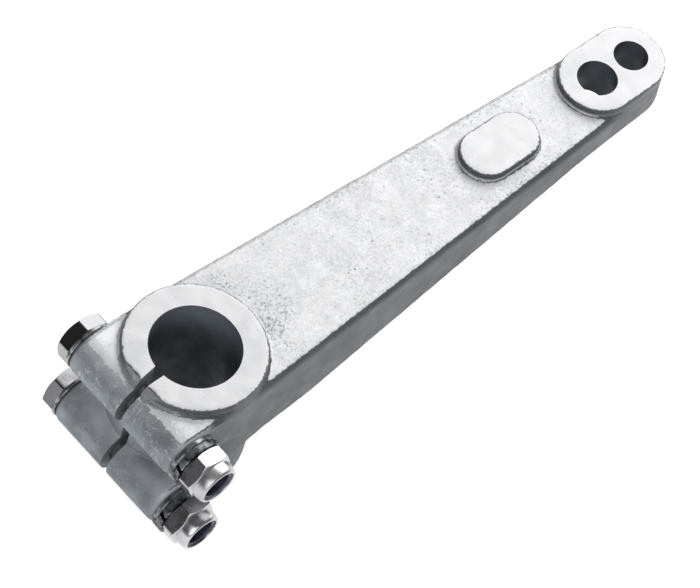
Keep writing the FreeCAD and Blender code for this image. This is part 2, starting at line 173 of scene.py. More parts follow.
# A shader node group: coordinates and named numbers go in, named numbers come out
def newGroup(name, inputs, outputs):
    group = bpy.data.node_groups.new(name, "ShaderNodeTree")
    group.interface.new_socket("coordinates", in_out="INPUT", socket_type="NodeSocketVector")
    for way, labels in (("INPUT", inputs), ("OUTPUT", outputs)):
        for label in labels:
            group.interface.new_socket(label, in_out=way, socket_type="NodeSocketFloat")
    return group, addNode(group, "NodeGroupInput"), addNode(group, "NodeGroupOutput")


def placeGroup(group, **values):
    made = addNode(treeOf(*values.values()), "ShaderNodeGroup", node_tree=group)
    for name, value in values.items():
        feed(made.inputs[name], value)
    return made


def addBump(shader, height, strength, distance):
    bump = addNode(treeOf(height), "ShaderNodeBump")
    for name, value in {"Strength": strength, "Distance": distance, "Height": height}.items():
        feed(bump.inputs[name], value)
    feed(shader.inputs["Normal"], bump.outputs["Normal"])


# The casting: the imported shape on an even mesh, with soft cast edges and an uneven skin

castForm = {
    "step": 0.85 * mm,  # edge length of the even mesh
    "quickStep": 1.7 * mm,
    "gridGap": 0.62,  # steps that the inner points keep from a flat's border
    "sameFlat": 0.9999996,  # cosine between the normals of two faces in one flat
    "boreRadius": 15.0 * mm,
    "endHoles": ((178.0 * mm, 7.0 * mm), (194.0 * mm, 6.0 * mm)),  # reach and radius
    "padHeight": 3.2 * mm,
    "slitHalf": 2.0 * mm,
    "lugFace": 24.0 * mm,
    "sharpAngle": 14.0,
    "machinedEdge": 0.3 * mm,  # nearer than this to a machined wall an edge isn't cast
    "upright": 0.95,  # cosine above which a face looks up
    "topBand": 0.05 * mm,  # an edge this near to Z = 0 is a pad's top edge
    "topEdgeShare": 0.25,
    "softZone": 1.2 * mm,  # how far from a cast edge the rounding reaches
    "softTurns": 6,
    "softShare": 0.55,
    "wave": 0.06 * mm,
    "waveSize": 13.0 * mm,
    "ripple": 0.05 * mm,
    "rippleSize": 3.0 * mm,
    "cleanMargin": 0.9 * mm,  # the uneven skin fades out over this distance from a machined face
    "cleanStart": 0.1 * mm,
    "padBand": 0.3 * mm,
    "padShare": 0.12,  # how much of the unevenness stays on the pads' flat tops
    "flare": 0.9 * mm,  # the cast sides lean outwards by this much down to the arm's underside
    "flareStart": (16.0 * mm, 32.0 * mm),  # along the arm
    "flareClear": (9.0 * mm, 12.0 * mm),  # from the arm's middle line
    "rootDepth": 35.9 * mm,
    "endDepth": 16.7 * mm,
    "levelStart": 161.0 * mm,
    "endCentre": 192.4 * mm,
    "slitClose": 1.1 * mm,  # the tight bolts draw the head side's lugs in by this much
    "slitCloseFrom": (-15.0 * mm, -23.0 * mm),
    "slitCloseDeep": 8.0 * mm,
    "shadeAngle": 34.0,
    "dentCount": 46,
    "dentReach": 20.0 * mm,  # dents lie past this place along the arm
    "dentClear": 3.0 * mm,
    "dentRadius": (0.7 * mm, 1.7 * mm),
    "dentDepth": (0.05 * mm, 0.16 * mm),
    "seed": 7,
}


# Shared surface effects

# Grey flecks, dark pits and slow patches of cast or worn metal
def buildSpeckleGroup():
    group, start, end = newGroup("speckle", ("fleckScale", "patchScale", "cover"),
                                 ("flecks", "pits", "patches"))
    where = start.outputs["coordinates"]
    patches = noiseNode(where, start.outputs["patchScale"], 3.0)
    fine = noiseNode(where, start.outputs["fleckScale"], 3.0, 0.65)
    patchShare = ramp(patches, 0.34, 0.66)
    lowered = times(patchShare, start.outputs["cover"], 0.2)
    limit = minus(0.7, lowered)
    flecks = ramp(minus(fine, limit), -0.05, 0.06)
    cells = addNode(group, "ShaderNodeTexVoronoi")
    feed(cells.inputs["Vector"], where)
    feed(cells.inputs["Scale"], times(start.outputs["fleckScale"], 0.4))
    picked = ramp(cells.outputs["Color"], 0.62, 0.7)
    near = ramp(cells.outputs["Distance"], 0.08, 0.26, 1.0, 0.0)
    pits = times(picked, near, patchShare)
    for socket, result in zip(end.inputs, (flecks, pits, patches)):
        feed(socket, result)
    return group


# Thin wandering lines, as wrinkles in a casting or rubs on steel
def buildWrinkleGroup():
    group, start, end = newGroup("wrinkles", ("scale", "width", "cover"), ("lines",))
    where = start.outputs["coordinates"]
    field = noiseNode(where, start.outputs["scale"], 2.0, 0.5, 0.6)
    off = absolute(minus(field, 0.5))
    line = ramp(off, 0.0, start.outputs["width"], 1.0, 0.0)
    broken = noiseNode(where, times(start.outputs["scale"], 0.6), 1.0)
    kept = ramp(plus(broken, times(start.outputs["cover"], 0.3)), 0.66, 0.74)
    feed(end.inputs["lines"], times(line, kept))
    return group


speckleGroup = buildSpeckleGroup()
wrinkleGroup = buildWrinkleGroup()

castLook = {
    # bright, grain and pad are painted light on the faces that look up
    "bright": (0.84, 0.84, 0.85),
    "grain": (0.70, 0.71, 0.72),
    "fleck": (0.36, 0.37, 0.38),
    # Near-white specks of painted glint on the tops
    "paintedGlint": (0.98, 0.98, 0.99),
    "pad": (0.75, 0.75, 0.76),
    "padBlotch": (0.66, 0.67, 0.69),
    # skin and skinLight are painted shade on the other faces; lug is lighter there on the clamp lugs as
    # painted light
    "skin": (0.12, 0.132, 0.14),
    "skinLight": (0.165, 0.177, 0.188),
    "lug": (0.34, 0.37, 0.40),
    # litLugTop is painted light on the lugs' tops; the pale wrinkle colour below also paints light on the
    # lugs' upward faces
    "litLugTop": (0.95, 0.96, 0.99),
    "wrinkleAndLitTone": (0.62, 0.64, 0.68),
    # wall and wallFoot are painted shade on the ring's and the pads' walls, lighter at their feet; wall also
    # darkens the pits and the sloping long edges
    "wall": (0.10, 0.105, 0.115),
    "wallFoot": (0.24, 0.25, 0.27),
    # Painted shade in the creases at the pads' feet
    "seam": (0.06, 0.065, 0.07),
    # Painted shade line on the cast edges
    "rim": (0.13, 0.135, 0.145),
    # inside and insideTop are painted shade in the bore and the end holes, lighter near their tops
    "inside": (0.013, 0.018, 0.026),
    # Painted shade on the slit's walls
    "slit": (0.25, 0.26, 0.28),
    "insideTop": (0.2, 0.235, 0.275),
    "metallic": 0.35,
    "gloss": 0.2,
    "ringFoot": 23.71 * mm,  # radius of the ring where it meets the arm's top
    "ovalReach": 132.6 * mm,
    "ovalHalf": 6.05 * mm,  # half the distance between the oval's two centres
    "ovalFoot": 9.56 * mm,
    "endReach": 178.0 * mm,
    "endFoot": 13.72 * mm,
    "footShadeWidth": 0.42 * mm,
}

# How strongly the casting's effects show
castShares = {
    "wrinkles": 0.8,
    "skinPits": 0.6,
    "slopeNoise": 0.3,
    "litLugTop": 0.75,
    "padPits": 0.45,
    "narrowing": 0.06,  # the arm narrows by 6 mm in 100
    "borderNoise": 1.6,
    "armBorder": 0.07,
    "nutSideSteep": 0.38,
    "padSteep": 0.25,
    "wallWobble": 1.6,
    "wall": 0.9,
    "seam": 0.8,
    "rimNoise": 0.9,
    "padPolish": 0.08,
    "bumpFine": 0.8,
    "bumpCloud": 0.6,
    "bumpPits": 0.9,
    "bumpWrinkles": 0.7,
    "calm": 0.75,
}

# Where the casting's look changes: from, to and, where it isn't 0 to 1, the values at both
castZones = {
    "blotch": (0.35, 0.65),
    "skinCloud": (0.35, 0.7, 0.0, 0.35),
    "lugs": (-16.0 * mm, -11.0 * mm, 1.0, 0.0),  # along X
    "lugPatches": (0.3, 0.7, 1.0, 0.5),
    "litLugTops": (0.5, 0.98),
    "wrinkles": (-22.0 * mm, -14.0 * mm, 0.3, 1.0),  # along Z
    # Painted shade on the sloping long edges
    "grime": (0.3, 0.45, 0.0, 0.18),
    "grain": (0.42, 0.66),
    "paintedGlint": (0.62, 0.68, 0.0, 0.9),
    "nearRing": (26.0 * mm, 50.0 * mm, 0.9, 0.3),
    "nearEdge": (16.5 * mm, 22.5 * mm, 0.0, 0.75),
    "offClamp": (-16.0 * mm, -6.0 * mm, 0.3, 1.0),
    "padPatches": (0.45, 0.7, 0.0, 0.8),
    "padTops": (-0.5 * mm, -0.15 * mm),
    "pastFacet": (-16.0 * mm, -12.0 * mm),
    "besideFacet": (12.0 * mm, 14.0 * mm),
    "armPads": (90.0 * mm, 100.0 * mm),
    "padWidth": (9.4 * mm, 10.6 * mm, 0.85, 0.0),
    "padFoot": (-3.35 * mm, -3.05 * mm, 0.0, 0.45),
    "padBack": (-0.5, -0.3, 1.0, 0.0),
    "headSide": (0.3, 0.6, 0.0, 0.12),
    "nutSide": (-0.5, -0.25, -0.2, 0.0),
    "top": (0.895, 0.925),
    "topDepth": (-9.0 * mm, -7.0 * mm),
    # Painted shade at the walls' feet on the nut side
    "shadedFoot": (-16.0 * mm, -11.0 * mm, 0.8, 0.0),  # along Y
    "wallHeight": (-4.2 * mm, -3.0 * mm),
    "wallSteep": (0.35, 0.6, 1.0, 0.0),
    "wallDepth": (-2.3 * mm, -1.2 * mm),
    # Painted reflected light at the feet of walls facing -X
    "litFoot": (-0.92, -0.6, 0.9, 0.0),
    "flushSide": (-16.0 * mm, -12.0 * mm, 1.0, 0.0),  # along Y
    "flushReach": (-6.0 * mm, -2.0 * mm),
    "endFootShade": (-2.0 * mm, 1.0 * mm, 1.0, 0.0),  # from the first end hole's axis
    "footShadeHeight": (0.4 * mm, 0.9 * mm, 1.0, 0.0),
    "rim": (0.5, 0.75, 0.0, 0.9),
    "farEdgeDepth": (-2.6 * mm, -2.0 * mm, 0.7, 0.0),
    "farEdgeSide": (0.0, 5.0 * mm),
    "holeWall": (0.05 * mm, 0.15 * mm, 1.0, 0.0),  # from the hole's radius
    "slitWall": (0.0, 0.1 * mm, 1.0, 0.0),  # from the slit's half width
    "slitReach": (-10.0 * mm, -8.0 * mm, 1.0, 0.0),
    "slitFacing": (0.5, 0.8),
    "upright": (0.3, 0.6, 1.0, 0.0),
    "insideDepth": (-20.0 * mm, -1.0 * mm),
    "insideReach": (20.0 * mm, 100.0 * mm, 1.0, 0.28),
    "roughness": (0.3, 0.7, 0.42, 0.56),
}


# The named zone's mask over a value, with its borders moved along by start
def zone(value, name, start=0.0):
    low, high, *ends = castZones[name]
    return ramp(value, start + low, start + high, *ends)


# Distance in plan from a point on the X axis, or from a stretch of it
def planDistance(plan, reach, half=0.0):
    aside = absolute(minus(plan[0], reach))
    aside = larger(minus(aside, half), 0.0)
    squares = plus(mathNode("POWER", aside, 2.0), mathNode("POWER", plan[1], 2.0))
    return mathNode("SQRT", squares)


# 1 on the line of painted shade in the crease where a raised pad meets the arm's top, fading out on the pad's
# side towards the hub
def footShadeMask(plan, reach, half, radius):
    off = absolute(minus(planDistance(plan, reach, half), radius))
    width = castLook["footShadeWidth"]
    line = ramp(off, width * 0.35, width, 1.0, 0.0)
    back = reach - half
    return times(line, ramp(plan[0], back - radius * 0.85, back - radius * 0.5))


# Places, directions, noises and masks that the casting's layers share
def castSurface(tree):
    at = SimpleNamespace()
    texture = addNode(tree, "ShaderNodeTexCoord")
    where = texture.outputs["Object"]
    at.x, at.y, at.z = splitNode(where)
    at.faceX, at.faceY, at.faceZ = splitNode(texture.outputs["Normal"])
    speckle = placeGroup(speckleGroup, coordinates=where, fleckScale=1150.0, patchScale=48.0, cover=0.75)
    at.flecks, at.pits, at.patches = speckle.outputs
    at.cloud = noiseNode(where, 170.0, 4.0)
    at.fine = noiseNode(where, 800.0, 3.0, 0.6)
    at.swing = minus(at.fine, 0.5)
    at.wobble = times(at.swing, 0.5 * mm)
    at.blotch = zone(noiseNode(where, 34.0, 4.0), "blotch")
    at.aside = absolute(at.y)
    at.onLugs = zone(at.x, "lugs")
    wrinkles = placeGroup(wrinkleGroup, coordinates=where, scale=330.0, width=0.034, cover=0.72)
    at.wrinkled = times(wrinkles.outputs["lines"], at.onLugs, zone(at.z, "wrinkles"))
    at.padTop = zone(at.z, "padTops")
    at.onPads = times(zone(at.x, "armPads"), zone(at.aside, "padWidth"))
    at.offFacet = larger(zone(at.x, "pastFacet"), zone(at.aside, "besideFacet"))
    # Where the ring stands flush with the hub's side its wall is like the hub's
    flush = times(zone(at.y, "flushSide"), zone(at.x, "flushReach"))
    at.apart = opposite(flush)
    at.marked = addNode(tree, "ShaderNodeAttribute", attribute_name="rim").outputs["Fac"]
    return at


# Dark grey, painted shade, for the faces that don't look up, with painted shade on the sloping long edges and
# light wrinkles on the clamp lugs. On the lugs painted light lifts it: a lighter grey in patches, paler still
# on their upward faces
def castShadedSkin(at):
    look = castLook
    skin = mixColour(at.blotch, look["skin"], look["skinLight"])
    skin = mixColour(zone(at.cloud, "skinCloud"), skin, look["skinLight"])
    lugPatches = times(at.onLugs, zone(at.cloud, "lugPatches"))
    skin = mixColour(lugPatches, skin, look["lug"])
    skin = mixColour(times(at.wrinkled, castShares["wrinkles"]), skin, look["wrinkleAndLitTone"])
    skin = mixColour(times(at.pits, castShares["skinPits"]), skin, look["wall"])
    # Painted shade on the sloping long edges, where the faces look both sideways and up
    slope = times(absolute(at.faceY), at.faceZ)
    slope = plus(slope, times(at.swing, castShares["slopeNoise"]))
    skin = mixColour(zone(slope, "grime"), skin, look["wall"])
    # Painted light on the clamp lugs' faces that look up
    litLugTops = times(at.onLugs, zone(at.faceZ, "litLugTops"), at.blotch)
    return mixColour(litLugTops, skin, look["wrinkleAndLitTone"])


# Bright flat tops with grain, painted glints and dark flecks, near-white on the lugs' tops, and the plainer
# pads: the colours that the faces looking up take as painted light
def castTop(at):
    look = castLook
    bright = mixColour(zone(at.fine, "grain"), look["bright"], look["grain"])
    # Painted glints: near-white specks on the tops
    bright = mixColour(zone(at.fine, "paintedGlint"), bright, look["paintedGlint"])
    # Flecks stand closest near the ring and along the arm's long edges
    nearRing = zone(planDistance((at.x, at.y), 0.0), "nearRing")
    outwards = plus(at.aside, times(at.x, castShares["narrowing"]))
    cover = larger(nearRing, zone(outwards, "nearEdge"))
    dots = larger(times(at.flecks, cover), at.pits)
    dots = times(dots, zone(at.x, "offClamp"))
    bright = mixColour(dots, bright, look["fleck"])
    # Painted light: the lugs' tops near white
    bright = mixColour(times(at.onLugs, castShares["litLugTop"]), bright, look["litLugTop"])
    padTop = mixColour(zone(at.patches, "padPatches"), look["pad"], look["padBlotch"])
    padTop = mixColour(times(at.pits, castShares["padPits"]), padTop, look["fleck"])
    return mixColour(at.padTop, bright, padTop)


# 1 on the tops, the faces that look up, whose bright colour is painted light over the painted shade of the
# rest. Their border wanders most where the surface slopes, and lies lower on the arm
def castTopMask(at):
    uneven = plus(minus(at.cloud, 0.5), times(at.swing, castShares["borderNoise"]))
    uneven = times(uneven, opposite(at.faceZ))
    limit = times(opposite(at.onLugs), castShares["armBorder"])
    padSide = larger(zone(at.faceX, "padBack"), at.onPads)
    padFoot = times(zone(at.z, "padFoot"), at.offFacet, padSide)
    # Painted light and shade by facing: the border reaches further down faces that lean to the head side and
    # less far on the nut side, and takes in the rounded feet of the pads as painted reflected light
    limit = plus(limit, padFoot, zone(at.faceY, "headSide"), zone(at.faceY, "nutSide"))
    top = zone(plus(at.faceZ, uneven, limit), "top")
    # Faces that look up but lie deep below the arm's top keep the painted shade
    return times(top, zone(at.z, "topDepth"))


# Walls of the ring and the pads: their mask and their colour. The colour is painted shade, darkest high on
# the walls and at the nut side's feet, with painted reflected light at the feet facing -X and on the arm's
# pads
def castWalls(at):
    look = castLook
    shadedFoot = zone(at.y, "shadedFoot")
    steep = minus(at.faceZ, times(shadedFoot, castShares["nutSideSteep"]))
    steep = minus(steep, times(at.onPads, castShares["padSteep"]))
    onWall = times(zone(at.z, "wallHeight"), zone(steep, "wallSteep"), at.apart)
    depth = plus(at.z, times(at.wobble, castShares["wallWobble"]), times(at.onPads, 0.5 * mm))
    litFoot = larger(times(zone(at.faceX, "litFoot"), at.offFacet), at.onPads)
    foot = mixColour(litFoot, look["wallFoot"], look["bright"])
    foot = mixColour(shadedFoot, foot, look["wall"])
    wall = mixColour(zone(depth, "wallDepth"), foot, look["wall"])
    return times(onWall, castShares["wall"]), wall


# Painted shade in the creases at the feet of the ring and the pads
def castFootShade(at):
    look = castLook
    plan = (plus(at.x, at.wobble), plus(at.y, at.wobble))
    ring = footShadeMask(plan, 0.0, 0.0, look["ringFoot"])
    oval = footShadeMask(plan, look["ovalReach"], look["ovalHalf"], look["ovalFoot"])
    end = times(footShadeMask(plan, look["endReach"], 0.0, look["endFoot"]),
                zone(at.x, "endFootShade", look["endReach"]))
    atFoot = zone(absolute(plus(at.z, castForm["padHeight"])), "footShadeHeight")
    footShades = times(larger(ring, oval, end), atFoot, opposite(at.onPads), at.apart)
    return times(footShades, castShares["seam"])


# Thin line of painted shade on the cast edges that the mesh marks
def castRim(at):
    rim = plus(at.marked, times(at.swing, castShares["rimNoise"]))
    farEdge = times(zone(at.z, "farEdgeDepth"), zone(at.y, "farEdgeSide"))
    return times(zone(rim, "rim"), opposite(farEdge))


# 1 on the walls of the bore and the end holes
def castHoles(at):
    masks = [zone(planDistance((at.x, at.y), reach), "holeWall", radius)
             for reach, radius in ((0.0, castForm["boreRadius"]), *castForm["endHoles"])]
    return times(larger(*masks), zone(at.faceZ, "upright"))


def castMaterial():
    material, tree, shader = newMaterial("castMetal")
    look = castLook
    at = castSurface(tree)
    colour = mixColour(castTopMask(at), castShadedSkin(at), castTop(at))
    onWall, wall = castWalls(at)
    colour = mixColour(onWall, colour, wall)
    colour = mixColour(castFootShade(at), colour, look["seam"])
    colour = mixColour(castRim(at), colour, look["rim"])
    # Painted shade on the slit's walls
    slit = times(zone(at.aside, "slitWall", castForm["slitHalf"]),
                 zone(at.x, "slitReach"), zone(absolute(at.faceY), "slitFacing"))
    colour = mixColour(slit, colour, look["slit"])
    # Painted shade inside the bore and the end holes, darker deep down and in the end holes
    inside = castHoles(at)
    depth = times(zone(at.z, "insideDepth"), zone(at.x, "insideReach"))
    colour = mixColour(inside, colour, mixColour(depth, look["inside"], look["insideTop"]))
    tree.links.new(colour, shader.inputs["Base Color"])
    shader.inputs["Metallic"].default_value = look["metallic"]
    shader.inputs["Specular IOR Level"].default_value = look["gloss"]
    rough = minus(zone(at.cloud, "roughness"), times(at.padTop, castShares["padPolish"]))
    tree.links.new(rough, shader.inputs["Roughness"])
    height = plus(times(at.fine, castShares["bumpFine"]), times(at.cloud, castShares["bumpCloud"]))
    height = minus(height, times(at.pits, castShares["bumpPits"]))
    height = plus(height, times(at.wrinkled, castShares["bumpWrinkles"]))
    calm = opposite(times(larger(at.padTop, inside), castShares["calm"]))
    addBump(shader, times(height, calm), 0.4, 0.0003)
    return material


# top, lowerTop, lower and shank are painted light and shade, by place on the two bolts' sets
steelLooks = {
    "nutSteel": {"light": (0.54, 0.54, 0.56), "dark": (0.44, 0.44, 0.46), "rough": (0.2, 0.3),
                 "top": (0.62, 0.62, 0.63), "lowerTop": (0.26, 0.26, 0.27), "collar": 0.05},
    "headSteel": {"light": (0.25, 0.25, 0.255), "dark": (0.2, 0.2, 0.205), "rough": (0.12, 0.2),
                  "shank": (0.11, 0.115, 0.125), "top": (0.35, 0.35, 0.36),
                  "lower": (0.15, 0.15, 0.155), "lowerTop": (0.5, 0.5, 0.51)},
    "washerSteel": {"light": (0.38, 0.39, 0.40), "dark": (0.08, 0.085, 0.09), "rough": (0.36, 0.5),
                    "patchScale": 420.0},
    "springSteel": {"light": (0.26, 0.27, 0.28), "dark": (0.025, 0.028, 0.032), "rough": (0.42, 0.6),
                    "patchScale": 520.0},
}

steelForm = {
    "lower": (-30.0 * mm, -26.0 * mm, 1.0, 0.0),  # the lower bolt's set, along Z
    "upward": (0.84, 0.9),
    "shank": (20.0 * mm, 23.0 * mm, 1.0, 0.0),  # from the middle, along the bolt
    "collar": (-34.2 * mm, -33.4 * mm),
    "patchScale": 120.0,
    "patches": (0.32, 0.68),
    "flecks": 0.3,
    "rubs": 0.12,
    "shankRough": 0.4,
}


def steelMaterial(name):
    material, tree, shader = newMaterial(name)
    look = steelLooks[name]
    form = steelForm
    texture = addNode(tree, "ShaderNodeTexCoord")
    where = texture.outputs["Object"]
    _, y, z = splitNode(where)
    faceZ = splitNode(texture.outputs["Normal"])[2]
    speckle = placeGroup(speckleGroup, coordinates=where, fleckScale=1500.0,
                         patchScale=look.get("patchScale", form["patchScale"]), cover=0.3)
    flecks, pits, patches = speckle.outputs
    rubs = placeGroup(wrinkleGroup, coordinates=where, scale=420.0, width=0.008, cover=0.15)
    cloud = ramp(patches, *form["patches"])
    colour = mixColour(cloud, look["light"], look["dark"])
    colour = mixColour(times(flecks, form["flecks"]), colour, look["dark"])
    # Painted light and shade by place: the lower bolt's set and the shank darker, the faces that look up
    # lighter, but darker on the lower nut
    lower = ramp(z, *form["lower"])
    upward = ramp(faceZ, *form["upward"])
    within = ramp(absolute(y), *form["shank"])
    masks = {"lower": lower, "top": upward, "lowerTop": times(lower, upward), "shank": within}
    for key, mask in masks.items():
        if key in look:
            colour = mixColour(mask, colour, look[key])
    tree.links.new(colour, shader.inputs["Base Color"])
    shader.inputs["Metallic"].default_value = 1.0
    rough = ramp(cloud, 0.0, 1.0, *look["rough"])
    if "shank" in look:
        rough = plus(rough, times(within, form["shankRough"]))
    if "collar" in look:
        rough = plus(rough, ramp(y, *form["collar"], look["collar"], 0.0))
    rough = plus(rough, times(rubs.outputs["lines"], form["rubs"]))
    tree.links.new(rough, shader.inputs["Roughness"])
    height = minus(cloud, plus(rubs.outputs["lines"], pits))
    addBump(shader, height, 0.12, 0.0001)
    return material


nylonLook = {
    "dark": (0.010, 0.014, 0.028),
    "light": (0.030, 0.037, 0.065),
    "fleck": (0.12, 0.14, 0.2),
    "flecks": 0.5,
    "rough": (0.35, 0.5),
}


def nylonMaterial():
    material, tree, shader = newMaterial("nylonBlack")
    look = nylonLook
    where = addNode(tree, "ShaderNodeTexCoord").outputs["Object"]
    speckle = placeGroup(speckleGroup, coordinates=where, fleckScale=1800.0, patchScale=300.0, cover=0.8)
    flecks, _, patches = speckle.outputs
    colour = mixColour(patches, look["dark"], look["light"])
    colour = mixColour(times(flecks, look["flecks"]), colour, look["fleck"])
    tree.links.new(colour, shader.inputs["Base Color"])
    tree.links.new(ramp(patches, 0.3, 0.7, *look["rough"]), shader.inputs["Roughness"])
    addBump(shader, flecks, 0.3, 0.0001)
    return material


studio = {
    "middle": (0.08, 0.0, -0.02),  # what the lamps look at, in metres
    "floorSize": 6.0,
    "floorGap": 0.0002,
    "floorColour": (0.86, 0.86, 0.86, 1.0),
    "floorGlow": 0.74,
    "keyWay": (0.75, 0.29, 0.6),
    "keyDistance": 1.3,
    "keySize": 1.6,
    "keyPower": 17.0,
    "fillWay": (-0.72, -0.45, 0.53),
    "fillDistance": 1.4,
    "fillSize": 1.1,
    "fillPower": 8.0,
    "worldBright": 0.25,
    "worldDark": 0.06,
    "darkFrom": -0.62,  # the room darkens towards -X, between these two shares of the view's X
    "darkTo": -0.1,
}


# Pale floor that also glows for the camera, so that it stays white and keeps the shadow
def floorMaterial():
    material, tree, shader = newMaterial("paleFloor")
    shader.inputs["Base Color"].default_value = studio["floorColour"]
    shader.inputs["Roughness"].default_value = 1.0
    shader.inputs["Specular IOR Level"].default_value = 0.0
    path = addNode(tree, "ShaderNodeLightPath")
    rays = [path.outputs[f"Is {kind} Ray"] for kind in ("Camera", "Glossy", "Transmission")]
    seen = plus(*rays, clamp=True)
    shader.inputs["Emission Color"].default_value = (1.0, 1.0, 1.0, 1.0)
    tree.links.new(times(seen, studio["floorGlow"]), shader.inputs["Emission Strength"])
    return material


castMetal = castMaterial()
nutSteel = steelMaterial("nutSteel")
headSteel = steelMaterial("headSteel")
washerSteel = steelMaterial("washerSteel")
springSteel = steelMaterial("springSteel")
nylon = nylonMaterial()
print("materials made")


# Bolts, nuts and washers, turned about the bolts' axes

fastenerForm = {
    "boltHole": 5.25 * mm,  # radius of the bolt's hole
    "flats": 8.0 * mm,  # half the width across flats
    "cornerLimit": 9.14 * mm,  # the hexagons' corners are rounded off here
    "chamferSlope": math.radians(30.0),
    "shadeAngle": 30.0,
    "threadRadius": 5.05 * mm,
    "pitch": 1.5 * mm,
    "washerHole": 5.25 * mm,
}

boltForm = {
    "radius": 5.0 * mm,
    "headHeight": 5.3 * mm,
    "faceCircle": 7.5 * mm,  # inner circle of the corner chamfer
    "dish": 0.12 * mm,  # depth of the hollow in the head's face
    "dishRim": (1.2 * mm, 0.5 * mm),  # its slope lies between these distances from the face circle
    "seatEdge": 0.15 * mm,
    "neck": 0.4 * mm,  # round between head and shank
    "threadLength": 26.0 * mm,
    "threadDepth": 0.9 * mm,
    "threadShape": (1.25, 3.0),  # flat and steepness of the groove's section
    "tipChamfer": 1.0 * mm,
    "stepsPerTurn": 6,
}

nutForm = {
    "hexHeight": 5.6 * mm,
    "height": 9.7 * mm,
    "faceCircle": 7.7 * mm,
    "collar": 7.4 * mm,
    "collarFoot": 0.15 * mm,
    "collarStep": 0.02 * mm,
    "collarStraight": 0.9 * mm,
    "domeSteps": 8,
    "domeShape": (0.8, 1.1),  # powers that make the dome's round fuller
    "mouth": 5.9 * mm,
    "lip": 0.7 * mm,
    "lipShare": 0.6,  # the lip's width as a share of its height
    "lipRound": 0.28 * mm,
    "pocket": 6.7 * mm,
    "seat": 6.8 * mm,
    "countersink": 0.5 * mm,
}

ringForm = {
    "turns": 72,
    "shadeAngle": 40.0,
    "washerRadius": 9.0 * mm,
    "springRadius": 9.05 * mm,
    "outerRound": 0.28 * mm,
    "innerRound": 0.15 * mm,
    "splitWidth": 1.6 * mm,
    "splitLean": math.radians(25.0),
    "splitTurn": 152.0,
    "nylonHole": 4.6 * mm,
    "nylonRadius": 6.7 * mm,
    "nylonRound": 0.35 * mm,
    "nylonEdge": 0.05 * mm,
}

# Turn of a hexagon's corner, in degrees from +X towards +Z
hexTurns = {"upper": {"head": 37.5, "nut": 49.5}, "lower": {"head": 3.6, "nut": 48.0}}
sideTurns = (-30.0, -29.0, -26.0, -20.0, -13.0, -6.5, 0.0, 6.5, 13.0, 20.0, 26.0, 29.0)


# A bolt's axis, X and Z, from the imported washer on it
def boltAxis(level):
    low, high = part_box(f"{level}_nut_washer")
    return (low[0] + high[0]) / 2, (low[2] + high[2]) / 2


boltAxes = {level: boltAxis(level) for level in ("upper", "lower")}


# Angles all round, close together at the hexagon's corners
def hexAngles(corner):
    return [math.radians(corner + 30.0 + 60.0 * side + turn) for side in range(6) for turn in sideTurns]


def hexRadius(angle, corner):
    aside = math.radians((math.degrees(angle) - corner) % 60.0 - 30.0)
    return min(fastenerForm["flats"] / math.cos(aside), fastenerForm["cornerLimit"])


def roundAngles():
    return [math.tau * step / ringForm["turns"] for step in range(ringForm["turns"])]


# Turns a profile about a bolt's axis. A point is a radius, a place along Y and, if not the column's, a turn
def lathe(axis, profileAt, angles, closedProfile, closedTurn=True):
    work = bmesh.new()
    columns = []
    for angle in angles:
        column = []
        for point in profileAt(angle):
            radius, along = point[:2]
            turned = point[2] if len(point) > 2 else angle
            place = (axis[0] + radius * math.cos(turned), along, axis[1] + radius * math.sin(turned))
            column.append(work.verts.new(place))
        columns.append(column)
    pairs = list(zip(columns, columns[1:]))
    if closedTurn:
        pairs.append((columns[-1], columns[0]))
    for one, two in pairs:
        steps = list(zip(one, one[1:], two, two[1:]))
        if closedProfile:
            steps.append((one[-1], one[0], two[-1], two[0]))
        for first, second, third, fourth in steps:
            work.faces.new((first, second, fourth, third))
    if not closedTurn:
        work.faces.new(columns[0])
        work.faces.new(columns[-1])
    bmesh.ops.remove_doubles(work, verts=work.verts, dist=1e-7)
    bmesh.ops.recalc_face_normals(work, faces=work.faces)
    return work


# Makes the object, gives it its material, sets it on the main body and hides the imported part that it stands
# for
def finishPiece(work, name, material, nodeName, form):
    mesh = bpy.data.meshes.new(name)
    work.to_mesh(mesh)
    work.free()
    mesh.shade_smooth()
    mesh.set_sharp_from_angle(angle=math.radians(form["shadeAngle"]))
    mesh.materials.append(material)
    piece = bpy.data.objects.new(name, mesh)
    bpy.context.scene.collection.objects.link(piece)
    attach(piece, mainBody)
    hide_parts(nodeName)


# A quarter round from one direction to the other, between 0 and 1 both ways
def quarter(steps=3):
    turns = [math.pi / 2 * step / steps for step in range(steps + 1)]
    return [(math.sin(turn), math.cos(turn)) for turn in turns]


# A quarter round that replaces a corner; the signs say to which side of the corner it lies
def roundCorner(corner, size, outwards, upwards, turns):
    reach, along = corner
    return [(reach + outwards * size * (1 - out), along + upwards * size * (1 - up)) for out, up in turns]


